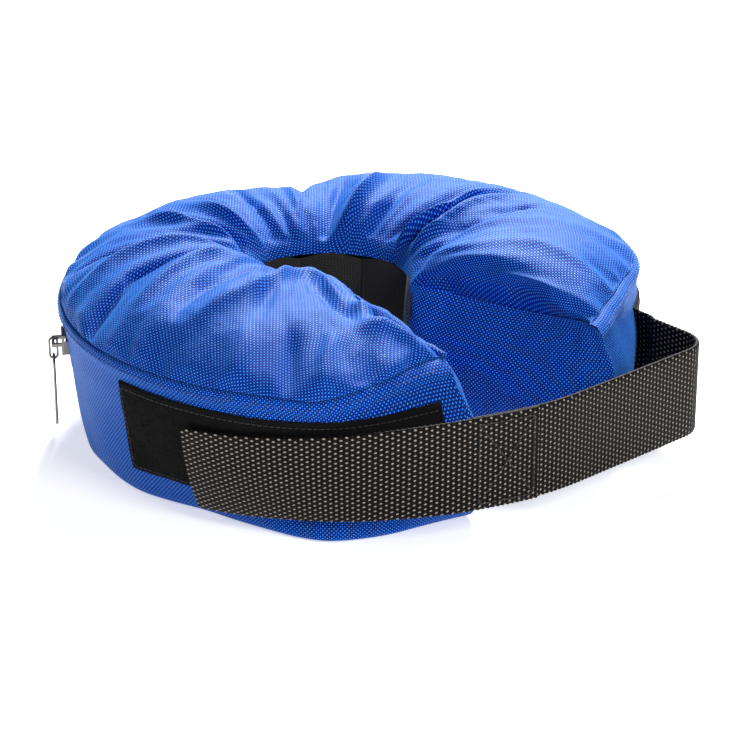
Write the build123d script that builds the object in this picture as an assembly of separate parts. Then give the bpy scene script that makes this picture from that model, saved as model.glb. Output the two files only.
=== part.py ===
from build123d import *
import math
import os

# Ankle cuff weight: a stuffed C-shaped bag with a zip round its back, a hook and loop strap
# across its gap and five filled pouches inside. Millimetres. The origin is on the ankle
# opening's axis at the base, +Z is up and the gap faces -Y.

# ---------------------------------------------------------------- driving sizes
ANKLE_R = 36.0          # ankle opening, wall radius
RING_Y = -16.0          # centre of the outer wall: the opening sits towards the back
SEAM_R = 124.0          # outer wall radius at the top seam
SEAM_Z = 64.0           # height of that seam
CLOTH = 1.2             # padded cloth thickness
LIP_SLOPE = 60.0        # steepness of the padded lip round the opening, degrees
END_SLOPE = 48.0        # steepness of the padded top where it rolls down to an arm end

GAP_HALF = 11.3         # half the gap's width on the line through RING_Y
GAP_SPREAD = 14.0       # each end face leans out by this angle, degrees

WEB_W = 40.0            # webbing width
WEB_T = 1.8             # webbing thickness
STRAP_TIP = 193.0       # angles round RING_Y, degrees
STRAP_SEAM = 263.0
STRAP_LEAVE = 269.4     # where the strap leaves the curve and runs straight over the gap
FOLD_R = 16.0           # fold radius at the right end, middle line
FOLD_TURN = 85.0
ROOT_FROM, ROOT_TO = 313.2, 352.0

PATCH_FROM, PATCH_TO = 176.0, 243.0
PATCH_T = 1.8
HOOK_T = 1.4
HOOK_GAP = 0.6          # hook tape to loop patch at the widest height

ZIP_FROM, ZIP_TO = 18.0, 147.0
ZIP_CUT = 4.5           # half the height of the slot in the wall
ROW_GAP = 1.2           # clear gap between the two coil rows
COIL_W, COIL_T = 2.3, 1.8
TAPE_T = 0.5
SLIDER_AT = 142.0
SLIDER_L, SLIDER_W = 11.5, 8.8
FIT = 0.35              # running gap round the slider
WIRE_R = 0.6

POUCHES = 5
POUCH_INSET = 6.0
LINER_T = 0.8

# ---------------------------------------------------------------- sizes that follow
BASE_R, MID_R = SEAM_R - 15.0, SEAM_R - 2.6            # wall radius at the base and at MID_Z
MID_Z = 0.483 * SEAM_Z
CROWN_R, CROWN_Z = SEAM_R - 40.0, SEAM_Z + 18.0        # highest line of the padded top
INNER_Z = SEAM_Z + 6.0                                 # height of the top near the opening
LIP_Z = SEAM_Z - 4.0                                   # top edge of the lining
END_Z = SEAM_Z - 2.0                                   # seam height across the arm ends
EDGE_R = SEAM_R + 26.0                                 # clear of every wall
WEB_Z = (SEAM_Z - WEB_W) / 2                           # lower edge of the webbing
PATCH_Z = (WEB_Z + 2, WEB_Z + WEB_W + 3)
ZIP_Z = SEAM_Z - 21.0
HALF_SWEEP = math.tan(math.radians(GAP_SPREAD))
FAR = 400.0


def ring_point(r, deg):
    a = math.radians(deg)
    return (r * math.cos(a), RING_Y + r * math.sin(a))


def block(x0, x1, y0, y1, z0, z1):
    return Pos((x0 + x1) / 2, (y0 + y1) / 2, (z0 + z1) / 2) * Box(x1 - x0, y1 - y0, z1 - z0)


def prism(points, z0, z1):
    face = make_face(Polyline(*[(x, y, 0) for x, y in points], close=True))
    return Pos(0, 0, z0) * extrude(face, z1 - z0, dir=(0, 0, 1))


def sector(a0, a1, centre_y=RING_Y, z0=-5.0, z1=120.0):
    """Pie slice from angle a0 to a1 about (0, centre_y)."""
    n = max(2, math.ceil((a1 - a0) / 45) + 1)
    steps = [a0 + (a1 - a0) * i / (n - 1) for i in range(n)]
    rim = [(FAR * math.cos(math.radians(a)), centre_y + FAR * math.sin(math.radians(a)))
           for a in steps]
    return prism([(0, centre_y)] + rim, z0, z1)


def about_ring(profile):
    """Full turn of an (r, z) face about the outer wall's axis."""
    return Pos(0, RING_Y, 0) * revolve(profile, axis=Axis.Z)


def wall_r(z):
    """Outer wall radius at height z, on the arc through its three driving points."""
    (x1, y1), (x2, y2), (x3, y3) = (BASE_R, 0), (MID_R, MID_Z), (SEAM_R, SEAM_Z)
    d = 2 * (x1 * (y2 - y3) + x2 * (y3 - y1) + x3 * (y1 - y2))
    s1, s2, s3 = x1 ** 2 + y1 ** 2, x2 ** 2 + y2 ** 2, x3 ** 2 + y3 ** 2
    cx = (s1 * (y2 - y3) + s2 * (y3 - y1) + s3 * (y1 - y2)) / d
    cy = (s1 * (x3 - x2) + s2 * (x1 - x3) + s3 * (x2 - x1)) / d
    return cx + math.sqrt((x1 - cx) ** 2 + (y1 - cy) ** 2 - (z - cy) ** 2)


COIL_R = wall_r(ZIP_Z - ZIP_CUT) - 0.15                # inner face of the coil
TAPE_R = COIL_R - TAPE_T                               # inner face of the zip tape


def under_wall(inset):
    """(r, z) face inside the outer wall, moved in by inset."""
    top = CROWN_Z + 12
    wall = Spline(*[(wall_r(z) - inset, 0, z) for z in (0, MID_Z / 2, MID_Z, SEAM_Z, top)])
    rest = Polyline((wall_r(top) - inset, 0, top), (0, 0, top), (0, 0, 0), (wall_r(0) - inset, 0, 0))
    return make_face(wall + rest)


def under_crown(inset):
    """(r, z) face under the padded top, moved down by inset."""
    line = [(0, INNER_Z - 14), (40, INNER_Z), (CROWN_R, CROWN_Z), (SEAM_R, SEAM_Z), (EDGE_R, SEAM_Z - 26)]
    curve = Spline(*[(r, 0, z - inset) for r, z in line])
    rest = Polyline((EDGE_R, 0, SEAM_Z - 26 - inset), (EDGE_R, 0, 0), (0, 0, 0), (0, 0, INNER_Z - 14 - inset))
    return make_face(curve + rest)


def strip_face(r0, r1, z0, z1):
    """(r, z) rectangle."""
    return make_face(Polyline((r0, 0, z0), (r1, 0, z0), (r1, 0, z1), (r0, 0, z1), close=True))


def opening(inset):
    return Pos(0, 0, 60) * Cylinder(ANKLE_R + inset, 200)


def gap(inset):
    grow = inset / math.cos(math.radians(GAP_SPREAD))
    near = GAP_HALF + HALF_SWEEP * RING_Y + grow
    reach = EDGE_R + 10
    far = GAP_HALF + HALF_SWEEP * (RING_Y + reach) + grow
    return prism([(near, 0), (far, -reach), (-far, -reach), (-near, 0)], -5, 120)


def lip(inset):
    """Space over the padded lip round the ankle opening."""
    spread = 1 / math.tan(math.radians(LIP_SLOPE))
    r0 = ANKLE_R + inset / math.sin(math.radians(LIP_SLOPE))
    z0, z1 = LIP_Z - 12, CROWN_Z + 30
    cone = Cone(r0 + (z0 - LIP_Z) * spread, r0 + (z1 - LIP_Z) * spread, z1 - z0)
    return Pos(0, 0, (z0 + z1) / 2) * cone


def end_rolls(inset):
    """Space over the top where it rolls down to each arm end."""
    lean = math.radians(GAP_SPREAD)
    plane = Plane((GAP_HALF, RING_Y, 0), x_dir=(math.cos(lean), math.sin(lean), 0),
                  z_dir=(math.sin(lean), -math.cos(lean), 0))
    rise = math.tan(math.radians(END_SLOPE))
    z0 = END_Z - inset / math.cos(math.radians(END_SLOPE))
    profile = Polyline((-30, z0 - 30 * rise), (60, z0 + 60 * rise), (-30, z0 + 60 * rise), close=True)
    right = extrude(plane * make_face(profile), 220, both=True) & block(0, FAR, -FAR, RING_Y, 0, 300)
    return right + mirror(right, about=Plane.YZ)


def filled(inset, floor):
    """The bag's whole shape moved in by inset, cut off at the floor."""
    profile = under_wall(inset) & under_crown(inset) & strip_face(0, EDGE_R, floor, 120)
    return about_ring(profile) - opening(inset) - gap(inset) - lip(inset) - end_rolls(inset)


def band(r0, r1, z0, z1, a0, a1):
    """Piece of a plain ring about the outer wall's axis."""
    ring = Pos(0, RING_Y, (z0 + z1) / 2) * (Cylinder(r1, z1 - z0) - Cylinder(r0, z1 - z0))
    return ring & sector(a0, a1)


nodes = {}

# ---------------------------------------------------------------- bag shell
# Each panel is a thin shell cut to its own area, so neighbours meet face to face.
cut_gap = gap(0)
wall_face = (under_wall(0) - under_wall(CLOTH)) & under_crown(CLOTH)
core_face = under_wall(CLOTH) & under_crown(CLOTH)
slot_low, slot_high = ZIP_Z - ZIP_CUT, ZIP_Z + ZIP_CUT


def wall_panel(a0, a1, z0=-1, z1=120):
    panel = about_ring(wall_face & strip_face(0, EDGE_R, z0, z1)) - cut_gap - end_rolls(CLOTH)
    return panel & sector(a0, a1)


top = about_ring(under_crown(0) & under_wall(0) & strip_face(0, EDGE_R, 30, 120))
top = top - opening(0) - cut_gap - lip(0) - end_rolls(0)
nodes["top_panel"] = top - (about_ring(under_crown(CLOTH) & strip_face(0, EDGE_R, 20, 120)) - lip(CLOTH) - end_rolls(CLOTH))
nodes["wall_left"] = wall_panel(ZIP_TO, 270)
nodes["wall_right"] = wall_panel(270, 360 + ZIP_FROM)
nodes["wall_back_lower"] = wall_panel(ZIP_FROM, ZIP_TO, z1=slot_low)
nodes["wall_back_upper"] = wall_panel(ZIP_FROM, ZIP_TO, z0=slot_high)
core = about_ring(core_face) - lip(CLOTH) - end_rolls(CLOTH)
nodes["inner_wall"] = (core & opening(CLOTH)) - opening(0) - cut_gap
ends = (core & gap(CLOTH)) - cut_gap - opening(CLOTH)
nodes["end_panel_right"] = ends & block(0, FAR, -FAR, FAR, -1, 120)
nodes["end_panel_left"] = ends & block(-FAR, 0, -FAR, FAR, -1, 120)
bottom_face = core_face & strip_face(0, EDGE_R, 0, CLOTH)
nodes["bottom_panel"] = about_ring(bottom_face) - opening(CLOTH) - gap(CLOTH)

# ---------------------------------------------------------------- pouches
# POUCHES equal slices about the opening; each liner holds its fill face to face.
room = filled(POUCH_INSET, CLOTH)
fill_room = filled(POUCH_INSET + LINER_T, CLOTH + LINER_T)
step = 360.0 / POUCHES
for i in range(POUCHES):
    a0 = -90 + i * step
    mid = math.radians(a0 + step / 2)
    for_liner = Pos(3 * math.cos(mid), 3 * math.sin(mid), 0) * sector(a0, a0 + step, 0)
    back_off = 3 + LINER_T / math.sin(math.radians(step / 2))
    for_fill = Pos(back_off * math.cos(mid), back_off * math.sin(mid), 0) * sector(a0, a0 + step, 0)
    fill = fill_room & for_fill
    nodes[f"pouch_fill_{i + 1}"] = fill
    nodes[f"pouch_liner_{i + 1}"] = (room & for_liner) - fill

# ---------------------------------------------------------------- loop patch and strap
web = (WEB_Z, WEB_Z + WEB_W)


def on_wall(thick, z0, z1, a0, a1):
    """Strip of this thickness lying on the outer wall."""
    profile = (under_wall(-thick) - under_wall(0)) & strip_face(0, EDGE_R, z0, z1)
    return about_ring(profile) & sector(a0, a1)


nodes["loop_patch"] = on_wall(PATCH_T, *PATCH_Z, PATCH_FROM, PATCH_TO)
nodes["strap_root"] = on_wall(WEB_T, *web, ROOT_FROM, ROOT_TO)


def turned(p, heading, distance, side=0.0):
    """Point distance along heading and side to its left."""
    h = math.radians(heading)
    return (p[0] + distance * math.cos(h) - side * math.sin(h),
            p[1] + distance * math.sin(h) + side * math.cos(h))


# The strap lies over the widest part of the patched wall, then runs straight across the gap,
# folds and comes back to the right arm.
widest = max(wall_r(z) for z in (PATCH_Z[1], SEAM_Z - 8, SEAM_Z))
STRAP_R = widest + PATCH_T + HOOK_GAP + HOOK_T + WEB_T / 2
FOLD_X = 0.524 * SEAM_R
seam_point = ring_point(STRAP_R, STRAP_SEAM)
leave = ring_point(STRAP_R, STRAP_LEAVE)
heading = STRAP_LEAVE - 270.0                            # direction of travel, degrees
run = (FOLD_X - leave[0]) / math.cos(math.radians(heading))
fold_start = turned(leave, heading, run)
fold_centre = turned(fold_start, heading, 0, FOLD_R)
out_heading = heading + FOLD_TURN
fold_end = turned(fold_centre, out_heading, 0, -FOLD_R)
# The swing axis is where that straight run comes within reach of the right arm's wall.
to_axis = SEAM_R + WEB_T + 1.1
dx, dy = math.cos(math.radians(out_heading)), math.sin(math.radians(out_heading))
along = fold_end[0] * dx + (fold_end[1] - RING_Y) * dy
off = fold_end[0] ** 2 + (fold_end[1] - RING_Y) ** 2
STRAP_RUN = -along - math.sqrt(along ** 2 - off + to_axis ** 2)
swing_point = turned(fold_end, out_heading, STRAP_RUN)


def strip(start, direction, length):
    """Straight webbing from start."""
    a, b = turned(start, direction, 0, WEB_T / 2), turned(start, direction, length, WEB_T / 2)
    c, d = turned(start, direction, length, -WEB_T / 2), turned(start, direction, 0, -WEB_T / 2)
    return prism([a, d, c, b], *web)


def post(point, r=WEB_T / 2):
    return Pos(point[0], point[1], (web[0] + web[1]) / 2) * Cylinder(r, WEB_W)


seam_gap = math.degrees(WEB_T / STRAP_R)
curve = band(STRAP_R - WEB_T / 2, STRAP_R + WEB_T / 2, *web, STRAP_SEAM + seam_gap, STRAP_LEAVE)
fold = Pos(fold_centre[0], fold_centre[1], (web[0] + web[1]) / 2) * (
    Cylinder(FOLD_R + WEB_T / 2, WEB_W) - Cylinder(FOLD_R - WEB_T / 2, WEB_W))
slice_rim = [turned(fold_centre, heading - 90 + FOLD_TURN * f, 60) for f in (0, 0.5, 1)]
fold = fold & prism([fold_centre] + slice_rim, 0, 100)
nodes["strap_rear"] = (curve + strip(leave, heading, run) + fold
                       + strip(fold_end, out_heading, STRAP_RUN) + post(swing_point))
front = band(STRAP_R - WEB_T / 2, STRAP_R + WEB_T / 2, *web, STRAP_TIP, STRAP_SEAM)
nodes["strap_front"] = front + post(seam_point)
hook_out = STRAP_R - WEB_T / 2
nodes["hook_tape"] = band(hook_out - HOOK_T, hook_out, web[0] + 1, web[1] - 1, STRAP_TIP + 0.5, STRAP_SEAM - 1.5)

# ---------------------------------------------------------------- zip
low_edge, high_edge = ZIP_Z - ROW_GAP / 2, ZIP_Z + ROW_GAP / 2
stop_a, stop_b = ZIP_FROM + 1.6, ZIP_TO - 1.9
nodes["zip_tape_lower"] = band(TAPE_R, COIL_R, slot_low, low_edge, ZIP_FROM, ZIP_TO)
nodes["zip_tape_upper"] = band(TAPE_R, COIL_R, high_edge, slot_high, ZIP_FROM, ZIP_TO)
nodes["zip_coil_lower"] = band(COIL_R, COIL_R + COIL_T, low_edge - COIL_W, low_edge, stop_a + 0.8, stop_b)
nodes["zip_coil_upper"] = band(COIL_R, COIL_R + COIL_T, high_edge, high_edge + COIL_W, stop_a + 0.8, stop_b)
for name, a in (("zip_stop_right", stop_a), ("zip_stop_left", stop_b)):
    nodes[name] = band(COIL_R, COIL_R + COIL_T + 0.4, low_edge - COIL_W, high_edge + COIL_W, a, a + 0.8)

# The slider is drawn at angle 0, with X outward and Y along the zip, then turned into place.
half_l, half_w = SLIDER_L / 2, SLIDER_W / 2
plate_in = COIL_R + COIL_T + FIT
plate_out = plate_in + 1.3
under = math.sqrt(TAPE_R ** 2 - half_l ** 2) - FIT
slider = block(plate_in, plate_out, -half_l, half_l, ZIP_Z - half_w, ZIP_Z + half_w)
slider += block(under - 1.2, under, -half_l, half_l, ZIP_Z - half_w + 0.3, ZIP_Z + half_w - 0.3)
slider += block(under - 0.2, plate_in + 0.2, half_l - 3.5, half_l, low_edge + FIT, high_edge - FIT)
flange = low_edge - COIL_W - FIT
for side in (-1, 1):
    z0, z1 = sorted((ZIP_Z + side * (ZIP_Z - flange), ZIP_Z + side * (ZIP_Z - flange + 0.9)))
    slider += block(COIL_R + FIT, plate_in + 0.2, -half_l, half_l, z0, z1)
BAR_X = plate_out + 3.5
BAR_R = 0.7
bail = Pos(BAR_X, 0, ZIP_Z) * Rot(90, 0, 0) * Cylinder(BAR_R, 9.8)
for side in (-4.2, 4.2):
    bail += block(plate_out, BAR_X + BAR_R, side - 0.7, side + 0.7, ZIP_Z - 0.7, ZIP_Z + 0.7)


def wire_loop(half_width, length, plane, r):
    """Closed wire of radius r: two half circles joined by straight legs, top centre at the plane's origin."""
    w, d = half_width, length
    section = Plane(plane.from_local_coords(Vector(w, -d / 2, 0)), z_dir=plane.y_dir)
    ring = Wire((plane * (Line((w, -d / 2), (w, 0)) + ThreePointArc((w, 0), (0, w), (-w, 0))
                          + Line((-w, 0), (-w, -d)) + ThreePointArc((-w, -d), (0, -d - w), (w, -d))
                          + Line((w, -d), (w, -d / 2)))).edges())
    return sweep(section * Circle(r), path=ring)


LINK_W = BAR_R + 0.4 + 0.55
LINK_L = 6.0
link = wire_loop(LINK_W, LINK_L, Plane((BAR_X, 0, ZIP_Z), x_dir=(1, 0, 0), z_dir=(0, -1, 0)), 0.55)
PULL_W = 3.4
PULL_L = 33.0 - 2 * (PULL_W + WIRE_R)
pull_centre_z = ZIP_Z - LINK_L - PULL_W
pull = wire_loop(PULL_W, PULL_L, Plane((BAR_X, 0, pull_centre_z), x_dir=(0, 1, 0), z_dir=(1, 0, 0)), WIRE_R)

to_place = Pos(0, RING_Y, 0) * Rot(0, 0, SLIDER_AT)
nodes["zip_slider"] = to_place * slider
nodes["zip_bail"] = to_place * bail
nodes["pull_link"] = to_place * link
nodes["pull_loop"] = to_place * pull

# ---------------------------------------------------------------- write the nodes
os.makedirs("parts", exist_ok=True)
for name, solid in nodes.items():
    kept = [s for s in solid.solids() if s.volume > 0.5]
    shape_out = kept[0] if len(kept) == 1 else Compound(children=kept)
    export_step(shape_out, f"parts/{name}.step")
    print(name, len(kept), round(sum(s.volume for s in kept)))
print("swing axis", swing_point, "seam axis", seam_point, "bail radius", BAR_X, "pull centre z", pull_centre_z)
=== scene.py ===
import math

import bpy
import numpy as np
from mathutils import Matrix, Vector


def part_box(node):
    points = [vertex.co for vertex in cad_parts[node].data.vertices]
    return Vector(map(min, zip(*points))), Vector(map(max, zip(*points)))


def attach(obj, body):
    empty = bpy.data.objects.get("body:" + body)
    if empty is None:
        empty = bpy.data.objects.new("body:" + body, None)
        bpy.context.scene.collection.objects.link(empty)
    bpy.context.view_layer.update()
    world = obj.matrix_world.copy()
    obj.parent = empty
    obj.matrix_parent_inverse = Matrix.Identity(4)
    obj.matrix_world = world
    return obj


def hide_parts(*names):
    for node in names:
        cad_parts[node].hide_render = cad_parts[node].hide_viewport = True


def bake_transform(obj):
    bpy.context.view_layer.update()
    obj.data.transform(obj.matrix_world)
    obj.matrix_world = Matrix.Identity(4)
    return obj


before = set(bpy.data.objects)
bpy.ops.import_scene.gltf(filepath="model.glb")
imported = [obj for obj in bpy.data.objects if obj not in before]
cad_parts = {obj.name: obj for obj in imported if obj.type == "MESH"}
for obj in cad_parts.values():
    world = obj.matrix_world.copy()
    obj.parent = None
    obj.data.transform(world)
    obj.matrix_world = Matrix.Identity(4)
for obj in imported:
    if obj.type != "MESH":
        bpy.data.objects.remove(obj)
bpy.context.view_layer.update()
rng = np.random.default_rng(7)

# ------------------------------------------------------------ shared sizes, mm and degrees
MM = 0.001                                # metres in a millimetre
RING = np.array([0.0, -16.0])             # centre of the outer wall; the ankle axis is at the origin
SEAM_NOMINAL = 124.0                      # the seam's radius where the bag is not squeezed
WALL_ARC = (14.2, 110.07, 55.97)          # the wall's section is an arc: centre's radius, radius, height
PER_DEGREE = 2.16                         # length of one degree along the wall
GROUND = 0.15                             # height of the lowest cloth
GAP_SIDE = np.array([0.97, 0.24])         # direction square to an end panel, for the right arm
GAP_SPREAD = 14.0                         # how far each end panel turns from the gap's middle plane

# Columns s run from the left arm's end (0) round the back to the right arm's end (1).
# Each sweep is (angle at s = 0, angle turned): about RING for the outer lines, else about the ankle axis.
SEAM_SWEEP = (247, 314)
LIP_SWEEP = (232, 286)
BASE_SWEEP = (250.5, 321.0)
FOOT_SWEEP = (244, 308)
COLUMNS, ROWS, END_ROWS = 301, 41, 24

# Tables of (angle, value); the curve between their points is smooth.
SEAM_Z = [(247, 67), (239, 68), (231, 67), (222, 65), (218, 63.2), (211, 64.4), (190, 63.5), (150, 63),
          (120, 63.5), (100, 63), (85, 61.5), (62, 59.5), (45, 62), (25, 63.5), (0, 64), (-20, 64),
          (-33, 64), (-44, 63.5), (-55, 62.5), (-67, 61)]
SEAM_R = [(247, 94), (239, 100), (231, 111), (222, 121.5), (213, 124.5), (190, 125), (150, 126), (120, 125),
          (100, 124), (85, 123), (62, 121), (45, 123), (25, 124), (0, 125), (-10, 126.5), (-20, 127),
          (-33, 124), (-44, 113.5), (-52, 109), (-57, 106.5), (-62, 106), (-67, 105)]
LIP_Z = [(232, 72), (198, 70), (162, 68), (142, 64), (110, 60), (90, 59), (0, 58), (-54, 60)]
LIP_R = [(232, 38), (224, 33), (210, 28), (198, 26.5), (180, 27), (162, 29), (142, 33), (120, 36),
         (90, 36.5), (0, 36), (-54, 34)]
CROWN = [(247, 77), (220, 80), (190, 82), (160, 82), (132, 79), (112, 74.5), (95, 73.5), (82, 76.5),
         (70, 72), (60, 68.5), (50, 72.5), (38, 74), (20, 75), (4, 74.5), (-8, 73), (-20, 76.5),
         (-40, 78.5), (-67, 78)]          # height of the dome
PEAK = [(247, 0.45), (190, 0.42), (150, 0.42), (100, 0.36), (45, 0.34), (0, 0.36), (-67, 0.42)]
FALL = [(247, 2.4), (190, 2.3), (150, 1.9), (100, 1.5), (45, 1.35), (0, 1.45), (-30, 1.7), (-67, 2.0)]
BASE_OUT = [(138, 0), (152, 8.5), (161, 7.5), (175, 7), (184, 3.5), (191, 1.5), (199, 3), (207, 6),
            (214, 10), (219, 11.5), (226, 9), (232, 5.5), (238, 1), (244, -2), (250, -3), (253, -3)]

# Folds of the padded top: (points x, y), height, half width; a negative height is a crease.
FOLDS = [
    ([(33, 3), (46, -4), (62, -11), (104, -10)], 6.0, 4.6),
    ([(36, 8), (58, 2), (98, 4)], -3.6, 6.0),
    ([(30, -9), (46, -17), (66, -19), (104, -24)], 4.2, 5.2),
    ([(36, -4), (56, -13), (80, -15)], -3.4, 3.2),
    ([(38, -27), (64, -32), (96, -40)], -2.2, 6.0),
    ([(28, 22), (46, 30), (80, 43)], 5.0, 4.6),
    ([(22, 27), (38, 38), (66, 60)], -4.6, 5.0),
    ([(34, 14), (60, 20)], -2.6, 5.0),
    ([(14, 34), (26, 48), (42, 72)], 2.6, 6.5),
    ([(4, 36), (10, 56), (20, 84)], -4.4, 6.5),
    ([(-6, 36), (-8, 54), (-8, 80)], 2.8, 6.0),
    ([(-14, 34), (-22, 55), (-28, 84)], -4.2, 5.0),
    ([(-24, 30), (-34, 50), (-44, 76)], 4.4, 5.5),
    ([(-32, 24), (-54, 46), (-84, 62)], -3.8, 5.0),
    ([(-40, 22), (-66, 34), (-104, 46)], 3.4, 6.0),
    ([(-53, 16), (-89, 22), (-121, 16)], -3.6, 5.0),
    ([(-44, 6), (-70, 8), (-100, 2)], 3.0, 7.0),
    ([(-50, -8), (-80, -12), (-108, -22)], -2.4, 6.0),
    ([(-96, -30), (-74, -34), (-50, -28), (-38, -27)], 4.6, 5.0),
    ([(-38, -27), (-40, -38), (-50, -58)], 3.6, 3.6),
    ([(-60, -42), (-78, -52), (-92, -74)], -1.8, 7.0),
    ([(-48, -44), (-56, -58), (-58, -72)], -3.0, 5.0),
    ([(-30, -42), (-37, -58), (-43, -76), (-41, -92)], -5.0, 4.2),
    ([(-60, -80), (-50, -84), (-44, -98)], 4.0, 3.6),
    ([(-50, -66), (-45, -70)], 3.4, 3.0),
    ([(-66, -66), (-80, -92)], -1.6, 6.0),
    ([(52, -62), (60, -84), (66, -100)], 2.0, 8.0),
    ([(-110, -108), (-88, -86), (-68, -74)], 2.8, 6.0),
    ([(-112, -62), (-92, -50)], 2.0, 5.0),
    ([(-104, -82), (-84, -66)], -2.0, 4.5),
]
FOLD_GAIN, FOLD_NARROW, FOLD_POWER = 1.35, 0.85, 1.25
CREST_GAIN, CREST_NARROW, CREST_POWER = 0.38, 0.45, 1.35
SHORT_FOLDS = 46
SEAM_TUCK = 4.0                           # how far an arm's end seam is pulled in
END_BULGE = 8.0                           # how far an arm's end panel swells

# The strap, as the frame has it
STRAP_R, TIP, LEAVE = 129.0, 193.0, 269.4
FOLD_R, TURN, RUN_X = 16.0, 85.0, 64.98
SWING = np.array([82.950, -112.036])      # axis of the swing joint
HALF_WEB, WEB_T = 20.0, 1.8
PEEL = 157.6                              # length from the tip to the peel axis
OVERLAP = (118.0, 148.0)                  # where the front webbing is sewn over the rear webbing
MIDDLE_END = 176.0
ROOT_LENGTH = 92.0                        # webbing sewn to the wall past the swing axis
ROOT_R = 126.0
LEAN = [(190, 1.0), (212, 0.9), (230, 0.4), (246, 0.0), (250, 0.0), (360, 0.0)]
MIDDLE = [(0, 26.5), (30, 28.8), (50, 30.6), (72, 32.6), (95, 34.6), (121, 35.6), (155, 34.6),
          (200, 33.2), (240, 32), (600, 32)]

# Patch and zip
PATCH = (176.0, 243.0, 14.0, 55.0)        # angles from and to, heights from and to
ZIP = (18.0, 147.0)                       # the slot in the wall, degrees
SLOT = (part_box("zip_tape_lower")[0].z / MM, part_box("zip_tape_upper")[1].z / MM)
COIL_IN = 0.15                            # the coil lies this far under the slot's lower edge


# ------------------------------------------------------------ small tools
def smooth(x, table):
    """Cubic curve through a table's (position, value) pairs, in any order."""
    pts = sorted(table)
    xs = np.array([p[0] for p in pts], float)
    ys = np.array([p[1] for p in pts], float)
    x = np.clip(np.asarray(x, float), xs[0], xs[-1])
    m = np.gradient(ys, xs)
    i = np.clip(np.searchsorted(xs, x) - 1, 0, len(xs) - 2)
    h = xs[i + 1] - xs[i]
    u = (x - xs[i]) / h
    return ((2 * u**3 - 3 * u**2 + 1) * ys[i] + (u**3 - 2 * u**2 + u) * h * m[i]
            + (-2 * u**3 + 3 * u**2) * ys[i + 1] + (u**3 - u**2) * h * m[i + 1])


def step(x, a, b):
    """Smooth step from 0 at a to 1 at b."""
    u = np.clip((np.asarray(x, float) - a) / (b - a), 0, 1)
    return u * u * (3 - 2 * u)


def sweep(s, pair):
    return pair[0] - pair[1] * s


def polar(r, deg):
    a = np.radians(deg)
    return np.stack([r * np.cos(a), r * np.sin(a)], -1)


def ring(r, deg):
    return RING + polar(r, deg)


def wall_r(z):
    """The outer wall's radius at height z."""
    out, radius, height = WALL_ARC
    return out + np.sqrt(radius**2 - (np.asarray(z, float) - height) ** 2)


def along(path):
    """Length from a path's first point to each of its points."""
    return np.r_[0, np.cumsum(np.linalg.norm(np.diff(path, axis=0), axis=1))]


def plane_uv(u, v):
    """UV pairs of a grid from its row and column lengths, in metres."""
    return np.stack(np.meshgrid(u, v, indexing="ij"), -1).reshape(-1, 2) * MM


def mesh_from(name, verts, faces, uvs=None):
    me = bpy.data.meshes.new(name)
    points = (np.asarray(verts, float) * MM).tolist()
    me.from_pydata(points, [], [tuple(int(i) for i in f) for f in faces])
    if uvs is not None:
        layer = me.uv_layers.new(name="UVMap")
        idx = np.zeros(len(me.loops), np.int32)
        me.loops.foreach_get("vertex_index", idx)
        layer.data.foreach_set("uv", np.asarray(uvs, np.float32)[idx].ravel())
    me.polygons.foreach_set("use_smooth", [True] * len(me.polygons))
    ob = bpy.data.objects.new(name, me)
    bpy.context.scene.collection.objects.link(ob)
    return ob


def grid_faces(nu, nv, flip=False, start=0):
    """Quads of an nu by nv grid whose vertex (i, j) is i * nv + j."""
    faces = []
    for i in range(nu - 1):
        for j in range(nv - 1):
            a = start + i * nv + j
            quad = (a, a + nv, a + nv + 1, a + 1)
            faces.append(quad[::-1] if flip else quad)
    return faces


def coords(ob):
    co = np.zeros(len(ob.data.vertices) * 3, np.float32)
    ob.data.vertices.foreach_get("co", co)
    return co.reshape(-1, 3).astype(float)


def join(name, obs):
    bpy.ops.object.select_all(action="DESELECT")
    for ob in obs:
        ob.select_set(True)
    bpy.context.view_layer.objects.active = obs[0]
    bpy.ops.object.join()
    obs[0].name = name
    return obs[0]


def apply_modifiers(ob):
    deps = bpy.context.evaluated_depsgraph_get()
    me = bpy.data.meshes.new_from_object(ob.evaluated_get(deps))
    ob.modifiers.clear()
    old = ob.data
    ob.data = me
    if old.users == 0:
        bpy.data.meshes.remove(old)


def subdivide(ob):
    sub = ob.modifiers.new("sub", "SUBSURF")
    sub.levels = sub.render_levels = 1
    sub.boundary_smooth = "PRESERVE_CORNERS"
    apply_modifiers(ob)


def tube(name, path, radius, sides):
    """Round tube of that radius along the points, with capped ends."""
    path = np.asarray(path, float)
    tang = np.gradient(path, axis=0)
    tang /= np.linalg.norm(tang, axis=1)[:, None]
    upright = abs(tang[:, 2]).mean() >= 0.8
    ref = np.array([1.0, 0, 0]) if upright else np.array([0.0, 0, 1])
    side = np.cross(tang, ref)
    side /= np.linalg.norm(side, axis=1)[:, None]
    top = np.cross(side, tang)
    r = np.broadcast_to(np.asarray(radius, float), len(path))[:, None, None]
    ang = np.linspace(0, 2 * np.pi, sides, endpoint=False)
    cos, sin = np.cos(ang)[None, :, None], np.sin(ang)[None, :, None]
    verts = path[:, None] + r * (side[:, None] * cos + top[:, None] * sin)
    n = len(path)
    faces = []
    for i in range(n - 1):
        for k in range(sides):
            p, q, after = i * sides, (i + 1) * sides, (k + 1) % sides
            faces.append((p + k, q + k, q + after, p + after))
    faces += [tuple(range(sides)), tuple(range((n - 1) * sides, n * sides))[::-1]]
    return mesh_from(name, verts.reshape(-1, 3), faces, plane_uv(along(path), ang * 1.5))


# ------------------------------------------------------------ the padded top
def seam_line(s):
    a = sweep(s, SEAM_SWEEP)
    return np.c_[ring(smooth(a, SEAM_R), a), smooth(a, SEAM_Z)]


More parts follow.
